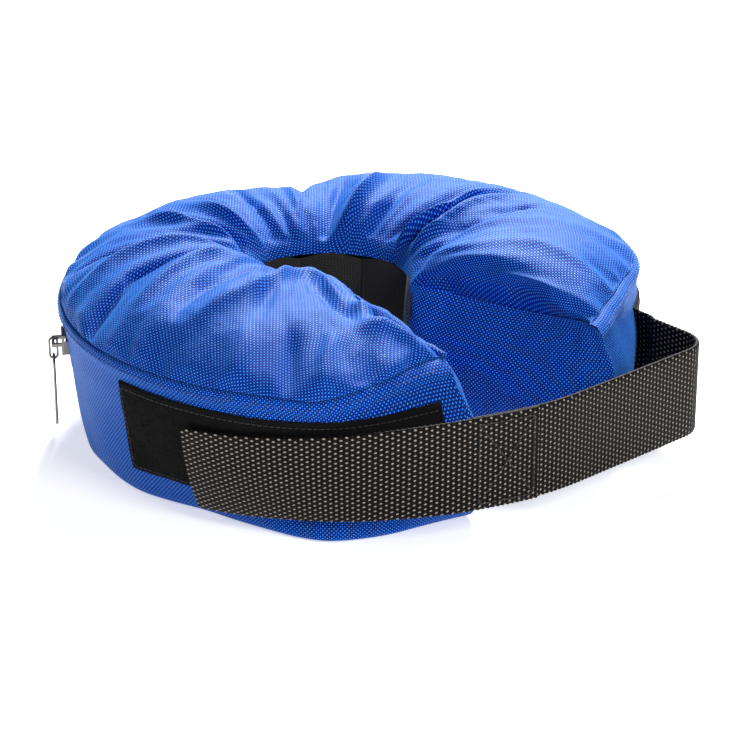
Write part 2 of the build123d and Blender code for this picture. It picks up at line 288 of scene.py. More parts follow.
def lip_line(s):
    a = sweep(s, LIP_SWEEP)
    return np.c_[polar(smooth(a, LIP_R), a), smooth(a, LIP_Z)]


def fold_height(xy, folds, gain, narrow, power):
    """Height of sharp-crested folds that fade out at both ends."""
    out = np.zeros(len(xy))
    for pts, height, width in folds:
        pts = np.array(pts, float)
        best = np.full(len(xy), 1e9)
        fade = np.ones(len(xy))
        spans = len(pts) - 1
        for k in range(spans):
            a, b = pts[k], pts[k + 1]
            u = np.clip(((xy - a) @ (b - a)) / ((b - a) @ (b - a)), 0, 1)
            d = np.linalg.norm(xy - (a + u[:, None] * (b - a)), axis=1)
            share = np.clip((k + u) / spans, 0.02, 0.98)
            fade = np.where(d < best, 0.25 + 0.75 * np.sin(np.pi * share) ** 0.5, fade)
            best = np.minimum(best, d)
        out += gain * height * fade * np.exp(-((best / (narrow * width)) ** power))
    return out


def dome_height(S, T, P, inner_z, outer_z):
    """Height of the dome over the straight line from the lip to the seam."""
    angle = sweep(S[:, 0], SEAM_SWEEP)
    crown, peak, fall = (smooth(angle, table)[:, None] for table in (CROWN, PEAK, FALL))
    up = np.clip(T / peak, 0, 1)
    rising = inner_z + (crown - inner_z) * np.sqrt(1 - (1 - up) ** 2.3)
    down = np.clip((T - peak) / (1 - peak), 0, 1)
    falling = outer_z + (crown - outer_z) * (1 - down**fall)
    return np.where(T < peak, rising, falling) - P[..., 2]


def hang_over_ends(P, S, T, d, roll_length):
    """Lets the top swell out over each end seam."""
    swell = np.where(S < 0.5, 5.0, 8.5)
    along_arm = np.sin(np.pi * np.clip(d / roll_length, 0, 1)) ** 1.5
    hang = swell * along_arm * np.sin(np.pi * np.clip(T, 0.02, 0.98)) ** 0.5
    toward = np.where(S < 0.5, -1.0, 1.0)
    P[..., 0] -= toward * hang * GAP_SIDE[0]
    P[..., 1] -= hang * GAP_SIDE[1]


def tuck_end_seams(P, t):
    """Pulls the two end rows in; the right one also sags."""
    for row, depth, sag in ((0, SEAM_TUCK, 0.0), (-1, 1.6 * SEAM_TUCK, 3.5)):
        tuck = depth * np.sin(np.pi * t) ** 0.6 * (1 if row else -1)
        P[row, :, 0] += tuck * GAP_SIDE[0]
        P[row, :, 1] += abs(tuck) * GAP_SIDE[1]
        P[row, :, 2] -= sag * np.sin(np.pi * t)


def top_surface():
    """The top before it is simulated: s, the grid of points and how far folds may show at each."""
    s = np.linspace(0, 1, COLUMNS)
    t = np.linspace(0, 1, ROWS)
    t = 0.5 - 0.5 * np.cos(np.pi * t) * 0.55 - 0.45 * (0.5 - t)
    t = (t - t[0]) / (t[-1] - t[0])
    inner, outer = lip_line(s), seam_line(s)
    S, T = np.meshgrid(s, t, indexing="ij")
    P = inner[:, None, :] * (1 - T[..., None]) + outer[:, None, :] * T[..., None]
    dome = dome_height(S, T, P, inner[:, 2:], outer[:, 2:])
    d = np.minimum(S, 1 - S) * (190 + 490 * T)          # distance from the nearer end
    roll_length = 34
    roll = np.sqrt(np.clip(1 - (1 - np.clip(d / roll_length, 0, 1)) ** 2.4, 0, 1))
    hang_over_ends(P, S, T, d, roll_length)
    P[..., 2] += dome * roll
    angle = sweep(s, SEAM_SWEEP)
    at_back = step(angle, -30, -5) * (1 - step(angle, 110, 130))
    free = step(d, 0, 8) * step(np.minimum(T, 1 - T), 0, 0.08)
    calm = 1 - 0.7 * at_back[:, None] * step(T, 0.4, 0.8)
    folds = fold_height(P[..., :2].reshape(-1, 2), FOLDS, FOLD_GAIN, FOLD_NARROW, FOLD_POWER)
    P[..., 2] += folds.reshape(COLUMNS, ROWS) * free * calm
    for waves, height, phase in ((17, 0.5, 0.4), (31, 0.4, 2.0), (43, 0.3, 4.1)):
        P[..., 2] += height * free * np.sin(2 * np.pi * waves * S + phase + 3.2 * T)
    over_seam = 2.4 * np.exp(-(((T - 0.93) / 0.05) ** 2)) * step(d, 4, 20)
    outward = P[:, -1:, :2] - P[:, :1, :2]
    outward = outward / np.linalg.norm(outward, axis=2, keepdims=True)
    P[..., :2] += over_seam[..., None] * outward
    P[1:-1, -1, :2] -= 1.0 * outward[1:-1, 0]
    tuck_end_seams(P, t)
    return s, P, free * calm


def end_surface(P, side, wall_column):
    """Panel across an arm's end: columns follow the top's edge from the opening outwards, rows go down."""
    edge = P[0] if side < 0 else P[-1]
    u = np.arange(ROWS) / (ROWS - 1)
    inner_foot = np.array([side * 16.0, -33.0])
    foot = inner_foot + (wall_column[-1, :2] - inner_foot) * u[:, None]
    w = np.linspace(0, 1, END_ROWS)
    X = np.zeros((ROWS, END_ROWS, 3))
    for j, k in enumerate(w):
        X[:, j, :2] = edge[:, :2] * (1 - k) + foot * k
        X[:, j, 2] = edge[:, 2] * (1 - k) + GROUND * k
    spread = math.radians(GAP_SPREAD)
    out = np.array([-side * math.cos(spread), -math.sin(spread), 0])
    swell = END_BULGE + 1.5 * (1 + side)                # the right arm's panel swells more
    down = np.sin(np.pi * w**0.8) ** 0.6
    across = np.sin(np.pi * np.clip(u, 0.02, 1)) ** 0.5
    bulge = swell * down[None, :] * across[:, None]
    X += bulge[..., None] * out
    column = wall_column[np.argsort(wall_column[:, 2])]
    target = np.stack([np.interp(X[-1, :, 2], column[:, 2], column[:, k]) for k in range(3)], 1)
    X += (target - X[-1])[None] * step(u, 0.3, 1)[:, None, None]
    return X


# ------------------------------------------------------------ the wall
def near_zip(angle):
    """1 where the zip lies, 0 away from it."""
    return step(angle, 2, 16) * (1 - step(angle, 149, 163))


def wall_at(angle, z, off=0.0):
    """Point of the outer wall at this angle and height, moved out by off."""
    angle, z = np.broadcast_arrays(np.asarray(angle, float), np.asarray(z, float))
    lean = smooth(angle, SEAM_R) - SEAM_NOMINAL
    top = smooth(angle, SEAM_Z)
    by_zip = near_zip(angle)
    share = np.clip(z / top, 0, 1) ** 2.6 * (1 - by_zip) + step(z, SLOT[1] + 1, top) * by_zip
    reach = 40 - 24 * step(angle, 172, 190)             # how high the base's spread goes
    base_out = np.where(angle < BASE_OUT[0][0], 0.0, smooth(angle, BASE_OUT))
    foot = base_out * np.clip(1 - z / reach, 0, 1) ** 1.3
    radius = wall_r(z) + lean * share + foot + off
    return np.concatenate([ring(radius, angle), z[..., None]], -1)


def wall_grid(s):
    """Grid of the wall from the seam down, and the row where the zip's slot starts."""
    base_angle, top_angle = sweep(s, BASE_SWEEP), sweep(s, SEAM_SWEEP)
    top_z = smooth(top_angle, SEAM_Z)
    # a raised band under the seam: (drop below it, proud of the wall)
    band = [(0.3, -1.8), (0.5, -0.2), (1.0, 1.1), (4.6, 1.2), (5.6, 0.8), (6.2, -0.2)]
    levels = [(top_z - drop, proud) for drop, proud in band]
    in_slot = np.linspace(SLOT[1], SLOT[0], 4)[1:-1]
    for z in (SLOT[1], *in_slot, SLOT[0], 34, 30, 26, 22, 18, 14, 10.5, 6.5, 3.2):
        levels.append((np.full(COLUMNS, float(z)), 0.0))
    levels += [(np.full(COLUMNS, 1.0), -0.6), (np.full(COLUMNS, GROUND), -4.0)]
    columns = []
    for z, proud in levels:
        share = np.clip(z / top_z, 0, 1) ** 1.6
        angle = base_angle + (top_angle - base_angle) * share
        low = np.sin(np.pi * np.clip(z / 40, 0, 1))
        uneven = 0.5 * np.sin(angle * 0.31 + 1.0) * low * (1 - near_zip(angle))
        columns.append(wall_at(angle, z, proud + uneven))
    return np.stack(columns, 1), len(band)


def make_wall(s, W, slot_row):
    """The outer wall with the zip's slot left open."""
    rows = W.shape[1]
    base_angle = sweep(s, BASE_SWEEP)
    in_zip = (base_angle > ZIP[0]) & (base_angle < ZIP[1])
    faces = []
    for i in range(COLUMNS - 1):
        for j in range(rows - 1):
            if slot_row <= j < slot_row + 3 and in_zip[i] and in_zip[i + 1]:
                continue
            k = i * rows + j
            faces.append((k, k + rows, k + rows + 1, k + 1))
    middle_row, a_column = 10, 100
    uvs = plane_uv(along(W[:, middle_row, :2]), -along(W[a_column]))
    ob = mesh_from("bag_wall", W.reshape(-1, 3), faces, uvs)
    subdivide(ob)
    return ob


# ------------------------------------------------------------ top and end panels as one cloth
def flat_top(s, P):
    """The top laid flat for its weave, with the steep cloth at each end unrolled."""
    lengths = np.cumsum(np.linalg.norm(np.diff(P, axis=1), axis=2), axis=1)
    lengths = np.concatenate([np.zeros((COLUMNS, 1)), lengths], axis=1)
    middle = 0.5 * (P[:, 0, :2] + P[:, -1, :2])
    across = P[:, -1, :2] - P[:, 0, :2]
    across /= np.linalg.norm(across, axis=1)[:, None]
    flat = middle[:, None, :] + across[:, None, :] * (lengths - 0.5 * lengths[:, -1:])[..., None]
    steps = np.diff(P, axis=0)
    lift = np.linalg.norm(steps, axis=2) - np.linalg.norm(steps[..., :2], axis=2)
    near_end = np.minimum(s, 1 - s)[:-1] < 0.12
    lift = lift * near_end[:, None]
    half, left = COLUMNS // 2, (s < 0.5)[:, None]
    from_left = np.concatenate([np.cumsum(lift[::-1], axis=0)[::-1], np.zeros((1, ROWS))]) * left
    from_left = from_left - lift[half:].sum(axis=0) * left
    from_right = np.concatenate([np.zeros((1, ROWS)), np.cumsum(lift, axis=0)]) - lift[:half].sum(axis=0)
    from_right = from_right * ~left
    flat[..., 0] += (from_left - from_right) * GAP_SIDE[0]
    flat[..., 1] -= (from_left + from_right) * GAP_SIDE[1]
    return flat.reshape(-1, 2)


def flat_end(X):
    """An end panel laid flat for its weave, in mm."""
    return plane_uv(along(X.mean(axis=1)), along(X.mean(axis=0))) / MM


def edges_held(rows, columns):
    """1 at a grid's border, 0 inside."""
    held = np.zeros((rows, columns))
    held[0, :] = held[-1, :] = 1
    held[:, 0] = held[:, -1] = 1
    return held.ravel()


def simulate(ob, held, frames, pressure, spare, bend, scale=10.0):
    """Cloth at ten times life size: its edges are held, it has spare cloth, and the fill pushes out."""
    ob.data.transform(Matrix.Scale(scale, 4))
    group = ob.vertex_groups.new(name="held")
    group.add([int(i) for i in np.nonzero(held)[0]], 1.0, "REPLACE")
    cloth = ob.modifiers.new("cloth", "CLOTH")
    st = cloth.settings
    st.quality = 8
    st.mass = 0.1
    st.air_damping = 3
    st.tension_stiffness = st.compression_stiffness = 40
    st.shear_stiffness = 12
    st.bending_stiffness = bend
    st.tension_damping = st.compression_damping = st.shear_damping = 8
    st.bending_damping = 2
    st.use_pressure = True
    st.uniform_pressure_force = pressure
    st.vertex_group_mass = "held"
    st.shrink_min = st.shrink_max = -spare
    st.effector_weights.gravity = 0
    cloth.collision_settings.use_collision = False
    cloth.point_cache.frame_start, cloth.point_cache.frame_end = 1, frames
    scene = bpy.context.scene
    scene.frame_start, scene.frame_end = 1, frames
    for f in range(1, frames + 1):
        scene.frame_set(f)
    apply_modifiers(ob)
    ob.data.transform(Matrix.Scale(1 / scale, 4))
    scene.frame_set(1)


def short_folds():
    """Small folds and creases strewn over the top, mostly across the ring."""
    folds = []
    for _ in range(SHORT_FOLDS):
        where = np.array([rng.uniform(0.03, 0.97)])
        inner, outer = lip_line(where)[0], seam_line(where)[0]
        centre = inner[:2] + (outer[:2] - inner[:2]) * rng.uniform(0.12, 0.85)
        heading = np.arctan2(*(outer - inner)[1::-1]) + rng.uniform(-0.7, 0.7)
        half = rng.uniform(7, 17) * np.array([math.cos(heading), math.sin(heading)])
        height = rng.choice([-1, 1]) * rng.uniform(0.7, 1.5)
        folds.append(([tuple(centre - half), tuple(centre + half)], height, rng.uniform(2.4, 3.8)))
    return folds


def make_shell(s, P, free, W):
    """Top and both end panels: shaped, simulated, then given crisp crests."""
    left, right = end_surface(P, -1, W[0]), end_surface(P, 1, W[-1])
    n_top, n_end = COLUMNS * ROWS, ROWS * END_ROWS
    verts = np.concatenate([P.reshape(-1, 3), left.reshape(-1, 3), right.reshape(-1, 3)])
    faces = (grid_faces(COLUMNS, ROWS) + grid_faces(ROWS, END_ROWS, start=n_top)
             + grid_faces(ROWS, END_ROWS, flip=True, start=n_top + n_end))
    uvs = np.concatenate([flat_top(s, P), flat_end(left), flat_end(right)]) * MM
    end_edges = edges_held(ROWS, END_ROWS)
    held = np.concatenate([edges_held(COLUMNS, ROWS), end_edges, end_edges])
    ob = mesh_from("bag_top_and_ends", verts, faces, uvs)
    simulate(ob, held, frames=16, pressure=1.5, spare=0.03, bend=6.0)
    co = coords(ob) / MM
    top = co[:n_top, :2]
    crests = fold_height(top, FOLDS, CREST_GAIN, CREST_NARROW, CREST_POWER)
    crests = crests + fold_height(top, short_folds(), 1.0, 1.0, 1.4)
    co[:n_top, 2] += crests * free.ravel()
    ob.data.vertices.foreach_set("co", (co * MM).astype(np.float32).ravel())
    subdivide(ob)
    return ob


def make_bottom(s, W):
    """Flat C just inside the wall's foot."""
    inner = np.c_[polar(36.0, sweep(s, FOOT_SWEEP)), np.full(COLUMNS, GROUND)]
    B = np.stack([W[:, -1], 0.5 * (W[:, -1] + inner), inner], 1).reshape(-1, 3)
    return mesh_from("bag_bottom", B, grid_faces(COLUMNS, 3), B[:, :2] * MM)


def make_lining():
    """Black lining of the ankle opening, gathered into lobes."""
    start, end, lobes = 244.5, -64.5, 7
    rows, columns = 16, 361
    angle = np.linspace(start, end, columns)
    puff = np.abs(np.sin(np.radians((angle - end) * 180 / (start - end) * lobes)))
    depth = 5.5 * puff**0.6
    edge_z = lip_line(np.clip((LIP_SWEEP[0] - angle) / LIP_SWEEP[1], 0, 1))[:, 2] + 1.5
    L = np.zeros((columns, rows, 3))
    for j, k in enumerate(np.linspace(0, 1, rows)):
        r = 36.6 - depth * math.sin(math.pi * min(1, 0.12 + k * 0.9)) ** 0.5
        z = edge_z * (1 - k) + 0.3 * k - (1 - k) * 3.0 * (1 - puff)
        L[:, j] = np.c_[polar(r, angle), z]
    uvs = plane_uv(angle * 0.63, np.linspace(0, 60, rows))
    return mesh_from("lining", L.reshape(-1, 3), grid_faces(columns, rows, flip=True), uvs)


def make_end_roll(P):
    """The left end seam's rolled edge, thinner at both ends."""
    count = 60
    line = P[0] + np.array([0.4, 0, 0.6])
    u = np.linspace(0, 1, len(line))
    path = np.stack([np.interp(np.linspace(0, 1, count), u, line[:, k]) for k in range(3)], 1)
    k = np.arange(count)
    wave = 0.175 * np.sin(k * 0.9)
    radius = 1.9 + wave - 0.9 * step(k, 52, 59) - 0.6 * (1 - step(k, 0, 8))
    return tube("end_seam_roll", path, radius, 10)


# ------------------------------------------------------------ webbing
def heading(angle):
    return np.array([math.cos(angle), math.sin(angle)])


def right_of(angle):
    return np.array([math.sin(angle), -math.cos(angle)])


arc_len = STRAP_R * math.radians(LEAVE - TIP)
leave_point = ring(STRAP_R, LEAVE)
run_head = math.radians(LEAVE - 270)
run_len = (RUN_X - leave_point[0]) / math.cos(run_head)
fold_centre = leave_point + run_len * heading(run_head) - FOLD_R * right_of(run_head)
fold_len = FOLD_R * math.radians(TURN)
back_head = run_head + math.radians(TURN)
fold_end = fold_centre + FOLD_R * right_of(back_head)
back_len = float(np.linalg.norm(SWING - fold_end))
SWING_L = arc_len + run_len + fold_len + back_len      # length from the tip to the swing axis
swing_angle = math.degrees(math.atan2(SWING[1] - RING[1], SWING[0] - RING[0]))


def strap_point(L, z, off):
    """Webbing surface at length L from the tip, height z and off outward."""
    if L < arc_len:
        angle = TIP + math.degrees(L / STRAP_R)
        lean = float(smooth(angle, LEAN)) * (wall_r(52.0) - wall_r(z))
        return np.r_[ring(STRAP_R + off - lean, angle), z]
    L -= arc_len
    if L < run_len:
        turned, base = run_head, leave_point + L * heading(run_head)
    elif L < run_len + fold_len:
        turned = run_head + (L - run_len) / FOLD_R
        base = fold_centre + FOLD_R * right_of(turned)
    elif L < run_len + fold_len + back_len:
        turned, base = back_head, fold_end + (L - run_len - fold_len) * heading(back_head)
    else:
        angle = swing_angle + math.degrees((L - run_len - fold_len - back_len) / ROOT_R)
        on_wall = np.linalg.norm(wall_at(angle, z, 1.1)[:2] - RING)
        mix = float(step(angle, swing_angle, swing_angle + 6))
        r = (1 - mix) * np.linalg.norm(SWING - RING) + mix * on_wall
        return np.r_[ring(r + off, angle), z]
    return np.r_[base + off * right_of(turned), z]


def webbing_outline(half, thick):
    """Section of a strip as (height, outward) points, with rounded edges."""
    r = thick / 2
    edge = [math.radians(d) for d in np.linspace(-90, 90, 5)]
    round_edge = [(half - r + r * math.cos(d), r * math.sin(d)) for d in edge]
    flat = np.linspace(1, -1, 15)[1:-1] * (half - r)
    return (round_edge + [(v, r) for v in flat] + [(-v, -w) for v, w in round_edge]
            + [(v, -r) for v in flat[::-1]])


def webbing_piece(name, L0, L1, lift=0.0, thick=WEB_T, half=HALF_WEB, pitch=2.2, rib=0.16):
    """Woven strip from L0 to L1 with a rib at every weft, both faces and rounded edges."""
    lengths = np.linspace(L0, L1, int((L1 - L0) / pitch * 4) + 1)
    outline = webbing_outline(half, thick)
    n, m = len(lengths), len(outline)
    V, uv = np.zeros((n, m, 3)), np.zeros((n, m, 2))
    for i, L in enumerate(lengths):
        middle = float(smooth(L, MIDDLE))
        wave = math.cos(2 * math.pi * L / pitch)
        swell = 1 + rib / (thick / 2) * wave
        for j, (v, w) in enumerate(outline):
            ripple = 0.15 * wave * (math.copysign(1, v) if abs(v) > half - thick else 0)
            V[i, j] = strap_point(L, middle + v + ripple, lift + w * swell)
            uv[i, j] = (L + pitch / 4, v)
    faces = []
    for i in range(n - 1):
        for j in range(m):
            k = (j + 1) % m
            faces.append((i * m + j, i * m + k, (i + 1) * m + k, (i + 1) * m + j))
    faces += [tuple(range(m))[::-1], tuple(range((n - 1) * m, n * m))]
    return mesh_from(name, V.reshape(-1, 3), faces, uv.reshape(-1, 2) * MM)


# ------------------------------------------------------------ stitches
def stitches(name, places, radius=0.28):
    """Thread dashes, each a bent capsule from a to b that stands out along up."""
    dashes = []
    for i, (a, b, up) in enumerate(places):
        middle = (a + b) / 2
        c0, c1 = a + (b - a) * 0.12, b - (b - a) * 0.12
        path = [c0 - up * 0.15, c0 + (middle - c0) * 0.4 + up * 0.2, middle + up * 0.26,
                c1 + (middle - c1) * 0.4 + up * 0.2, c1 - up * 0.15]
        dashes.append(tube(f"{name}_{i}", np.array(path), radius, 5))
    return join(name, dashes)


def stitch_line(point, start, end, scale, size):
    """Stitch places between two points of a surface; scale turns the first coordinate into mm."""
    start, end = np.array(start, float), np.array(end, float)
    length = math.hypot((end[0] - start[0]) * scale, end[1] - start[1])
    count = max(1, int(length / size))
    ends = [point(*(start + (end - start) * k / count), 0.0) for k in range(count + 1)]
    up = point(*start, 1.0) - point(*start, 0.0)
    return [(ends[k], ends[k + 1], up) for k in range(count)]


def strap_stitches(name, corners, off):
    """Stitches on the webbing's outer face along (length, height from the middle) corners."""
    def point(L, v, out):
        return strap_point(L, float(smooth(L, MIDDLE)) + v, off + out)
    places = []
    for start, end in corners:
        places += stitch_line(point, start, end, 1.0, 2.6)
    return stitches(name, places)


def wall_stitches(name, lines, off, size, radius):
    """Stitches on the wall along (angle, height) lines."""
    def point(angle, z, out):
        return wall_at(angle, z, off + out)
    places = []
    for start, end in lines:
        places += stitch_line(point, start, end, PER_DEGREE, size)
    return stitches(name, places, radius)


def box_lines(L0, L1, v):
    """The four sides of a box of stitches."""
    return [((L0, -v), (L1, -v)), ((L1, -v), (L1, v)), ((L1, v), (L0, v)), ((L0, v), (L0, -v))]


def make_strap_stitches():
    """The box with a cross where the strap's parts join, and the box at its root."""
    v = HALF_WEB - 3
    L0, L1 = OVERLAP[0] + 3, OVERLAP[1] - 2.5
    cross = [((L0, -v), (L1, v)), ((L0, v), (L1, -v))]
    box = strap_stitches("strap_box_stitch", box_lines(L0, L1, v) + cross, 0.95)
    root = strap_stitches("strap_root_stitch", box_lines(SWING_L + 14, SWING_L + 88, v), -0.05)
    return box, root


def make_seam_stitches():
    places = []
    for angle in np.arange(243, -62, -1.5):
        ends = [wall_at(a, float(smooth(a, SEAM_Z)) - 3.2, 1.12) for a in (angle, angle - 1.3)]
        z = float(smooth(angle, SEAM_Z)) - 3.0
        places.append((*ends, wall_at(angle, z, 2.12) - wall_at(angle, z, 1.12)))
    return stitches("seam_stitch", places, 0.2)


# ------------------------------------------------------------ loop patch and zip
def make_patch():
    """Loop pile with a sewn-down border and ragged edges."""
    start, end, low, high = PATCH
    angles, heights = np.linspace(start, end, 250), np.linspace(low, high, 72)
    A, Z = np.meshgrid(angles, heights, indexing="ij")
    edge = np.minimum(np.minimum(A - start, end - A) * PER_DEGREE, np.minimum(Z - low, high - Z))
    rough = rng.normal(0, 0.16, A.shape) * (edge > 1.2)
    pile = 0.25 + 1.35 * np.clip(edge / 1.6, 0, 1) ** 0.5 + rough
    sewn_down = -0.5 * np.exp(-(((edge - 2.4) / 0.8) ** 2))
    ragged = rng.normal(0, 0.12, A.shape) * (edge < 0.3)
    loops = wall_at(A, Z + ragged, pile + sewn_down).reshape(-1, 3)
    uvs = plane_uv(angles * PER_DEGREE, heights)
    return mesh_from("loop_pile_patch", loops, grid_faces(len(angles), len(heights), flip=True), uvs)


def make_patch_stitches():
    start, end = PATCH[0] + 1.1, PATCH[1] - 1.1
    low, high = PATCH[2] + 2.4, PATCH[3] - 2.4
    lines = [((start, high), (end, high)), ((start, low), (end, low)), ((start, low), (start, high))]
    return wall_stitches("patch_stitch", lines, 1.25, 2.4, 0.25)


def make_zip_stitches():
    lines = [((ZIP[0] - 1, z), (ZIP[1] + 1, z)) for z in (SLOT[0] - 1.6, SLOT[1] + 1.6)]
    return wall_stitches("zip_stitch", lines, 0.05, 2.8, 0.22)


def make_coil(name, side):
    """One side's coil: flattened turns that hook towards the other side."""
    pitch, end_gap, points = 1.3, 2.5, 9
    radius = wall_r(SLOT[0]) - COIL_IN + 0.95
    total = math.radians(ZIP[1] - ZIP[0] - 2 * end_gap) * radius
    k = np.arange(int(total / pitch * points)) / points
    angle = ZIP[0] + end_gap + np.degrees(k * pitch / radius) + side * 0.15
    turn = k * 2 * np.pi
    z = sum(SLOT) / 2 + side * (1.55 - 1.25 * np.cos(turn))
    return tube(name, np.c_[ring(radius + 0.62 * np.sin(turn) * side, angle), z], 0.3, 5)


# ------------------------------------------------------------ materials
def new_material(name):
    m = bpy.data.materials.new(name)
    m.use_nodes = True
    return m, m.node_tree, m.node_tree.nodes["Principled BSDF"]


def math_node(nt, op, a, b=None):
    node = nt.nodes.new("ShaderNodeMath")
    node.operation = op
    for k, v in enumerate((a, b)):
        if v is None:
            continue
        if isinstance(v, (int, float)):
            node.inputs[k].default_value = v
        else:
            nt.links.new(v, node.inputs[k])
    return node.outputs[0]


def noise_node(nt, uv, scale):
    noise = nt.nodes.new("ShaderNodeTexNoise")
    noise.inputs["Scale"].default_value = scale
    noise.inputs["Detail"].default_value = 2
    nt.links.new(uv, noise.inputs["Vector"])
    return noise.outputs[0]


def thread_height(nt, uv, pitch, wander, narrow):
    """Height of a plain weave's threads, 0 in its gaps and 1 on top."""
    xyz = nt.nodes.new("ShaderNodeSeparateXYZ")
    nt.links.new(uv, xyz.inputs[0])
    sway = math_node(nt, "MULTIPLY", math_node(nt, "SUBTRACT", noise_node(nt, uv, 90), 0.5), wander)
    fine = noise_node(nt, uv, 1500)
    waves = []
    for axis in (0, 1):
        phase = math_node(nt, "MULTIPLY", xyz.outputs[axis], math.pi / pitch[axis])
        waves.append(math_node(nt, "SINE", math_node(nt, "ADD", phase, sway)))
    if narrow > 1:
        slim = math_node(nt, "POWER", math_node(nt, "ABSOLUTE", waves[0]), narrow)
        waves[0] = math_node(nt, "MULTIPLY", slim, math_node(nt, "SIGN", waves[0]))
    product = math_node(nt, "MULTIPLY", *waves)
    # cells where one yarn set lies on top count fully and the other set at 0.4, so through the colour ramp
    # one set shows brighter as a painted sheen
    over = math_node(nt, "MAXIMUM", product, 0.0)
    below = math_node(nt, "MAXIMUM", math_node(nt, "MULTIPLY", product, -1.0), 0.0)
    thread = math_node(nt, "ADD", over, math_node(nt, "MULTIPLY", below, 0.4))
    grain = math_node(nt, "MULTIPLY", math_node(nt, "SUBTRACT", fine, 0.5), 0.35)
    return math_node(nt, "ADD", math_node(nt, "POWER", thread, 0.6), grain)


def weave_material(name, gap_shade, body, sheen_dot, pitch, ramp_at, rough, sheen, bump=0.5, wander=0.9, narrow=1.0,
                   gloss=(1, 1, 1)):
    """Plain weave from the UV map, which is in metres; pitch is a cell's (width, height). Its colour follows
    the threads' height: the gap colour is painted shade between the threads and the dot colour a painted
    sheen highlight on their tops.
    """
    m, nt, bsdf = new_material(name)
    uv = nt.nodes.new("ShaderNodeUVMap")
    uv.uv_map = "UVMap"
    level = thread_height(nt, uv.outputs[0], pitch, wander, narrow)
    # colour ramp: painted shade in the gaps, the cloth's own colour on the threads, a painted sheen highlight
    # on their tops
    ramp = nt.nodes.new("ShaderNodeValToRGB")
    elements = ramp.color_ramp.elements
    elements[0].color, elements[0].position = (*gap_shade, 1), ramp_at[0]
    elements[1].color, elements[1].position = (*sheen_dot, 1), ramp_at[2]
    elements.new(ramp_at[1]).color = (*body, 1)
    nt.links.new(level, ramp.inputs[0])
    nt.links.new(ramp.outputs[0], bsdf.inputs["Base Color"])
    relief = nt.nodes.new("ShaderNodeBump")
    relief.inputs["Strength"].default_value = bump
    relief.inputs["Distance"].default_value = 0.0003
    nt.links.new(level, relief.inputs["Height"])
    nt.links.new(relief.outputs[0], bsdf.inputs["Normal"])
    bsdf.inputs["Roughness"].default_value = rough
    bsdf.inputs["Sheen Weight"].default_value = sheen
    bsdf.inputs["Sheen Roughness"].default_value = 0.35
    bsdf.inputs["Sheen Tint"].default_value = (*gloss, 1)
    bsdf.inputs["Specular Tint"].default_value = (*gloss, 1)
    bsdf.inputs["Specular IOR Level"].default_value = 0.1
    return m


def plain(name, color, rough=0.5, metal=0.0, specular=0.5):
    """One colour with a faint mottle."""
    m, nt, bsdf = new_material(name)
    noise = nt.nodes.new("ShaderNodeTexNoise")
    noise.inputs["Scale"].default_value = 400
    ramp = nt.nodes.new("ShaderNodeValToRGB")
    ramp.color_ramp.elements[0].color = (*[c * 0.8 for c in color], 1)
    ramp.color_ramp.elements[1].color = (*[min(1, c * 1.15) for c in color], 1)
    nt.links.new(noise.outputs[0], ramp.inputs[0])
    nt.links.new(ramp.outputs[0], bsdf.inputs["Base Color"])
    bsdf.inputs["Roughness"].default_value = rough
    bsdf.inputs["Metallic"].default_value = metal
    bsdf.inputs["Specular IOR Level"].default_value = specular
    return m


# blue nylon: body is its own blue; the dark gap colour is painted shade between the threads and the cyan dot
# colour a painted sheen highlight
blue = weave_material("nylon_blue", gap_shade=(0.001, 0.005, 0.07), body=(0.009, 0.068, 0.64),
                      sheen_dot=(0.08, 0.44, 1.0), pitch=(0.0009, 0.0009), ramp_at=(0.25, 0.6, 1.0), rough=0.5,
                      sheen=0.6, bump=0.7, gloss=(0.10, 0.38, 1.0))
# black lining: body is its own black; the gap colour is painted shade between the threads and the lighter dot
# colour a painted sheen
black_cloth = weave_material("lining_black", gap_shade=(0.004, 0.004, 0.004), body=(0.026, 0.025, 0.023),
                             sheen_dot=(0.07, 0.065, 0.06), pitch=(0.0007, 0.0007), ramp_at=(0.12, 0.5, 0.95),
                             rough=0.7, sheen=0.3)
# black webbing: body is its own dark colour; the gap colour is painted shade between the ribs and the pale
# dot colour a painted sheen highlight on the rib tops
webbing = weave_material("webbing_black", gap_shade=(0.0012, 0.001, 0.001), body=(0.010, 0.008, 0.006),
                         sheen_dot=(0.42, 0.36, 0.31), pitch=(0.0022, 0.0011), ramp_at=(0.35, 0.6, 1.0), rough=0.55,
                         sheen=0.0, wander=0.5, narrow=1.5)
loop_mat = plain("loop_black", (0.004, 0.004, 0.004), 0.95, specular=0.15)
hook_mat = plain("hook_black", (0.015, 0.015, 0.015), 0.6)
tape_mat = plain("zip_tape", (0.01, 0.02, 0.09), 0.8)
coil_mat = plain("zip_coil", (0.01, 0.02, 0.08), 0.4)
metal_mat = plain("slider_metal", (0.25, 0.24, 0.23), 0.35, metal=1.0)
liner_mat = plain("liner_canvas", (0.5, 0.47, 0.4), 0.9)
fill_mat = plain("shot_fill", (0.15, 0.14, 0.13), 0.6)
blue_thread = plain("blue_thread", (0.02, 0.05, 0.25), 0.6)
black_thread = plain("black_thread", (0.02, 0.019, 0.018), 0.6)


# ------------------------------------------------------------ building and binding
def set_material(ob, m):
    ob.data.materials.clear()
    ob.data.materials.append(m)


def dress(ob, m, slot, body=None):
    set_material(ob, m)
    if body:
        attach(ob, body)


def dress_frame():
    """Materials for the frame's own solids."""
    by_name = {"strap": webbing, "loop": loop_mat, "hook": hook_mat, "zip_tape": tape_mat,
               "zip_coil": coil_mat, "zip_stop": metal_mat, "zip_slider": metal_mat, "zip_bail": metal_mat,
               "pull": metal_mat, "pouch_liner": liner_mat, "pouch_fill": fill_mat}
    for name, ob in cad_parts.items():
        for start, m in by_name.items():
            if name.startswith(start):
                set_material(ob, m)


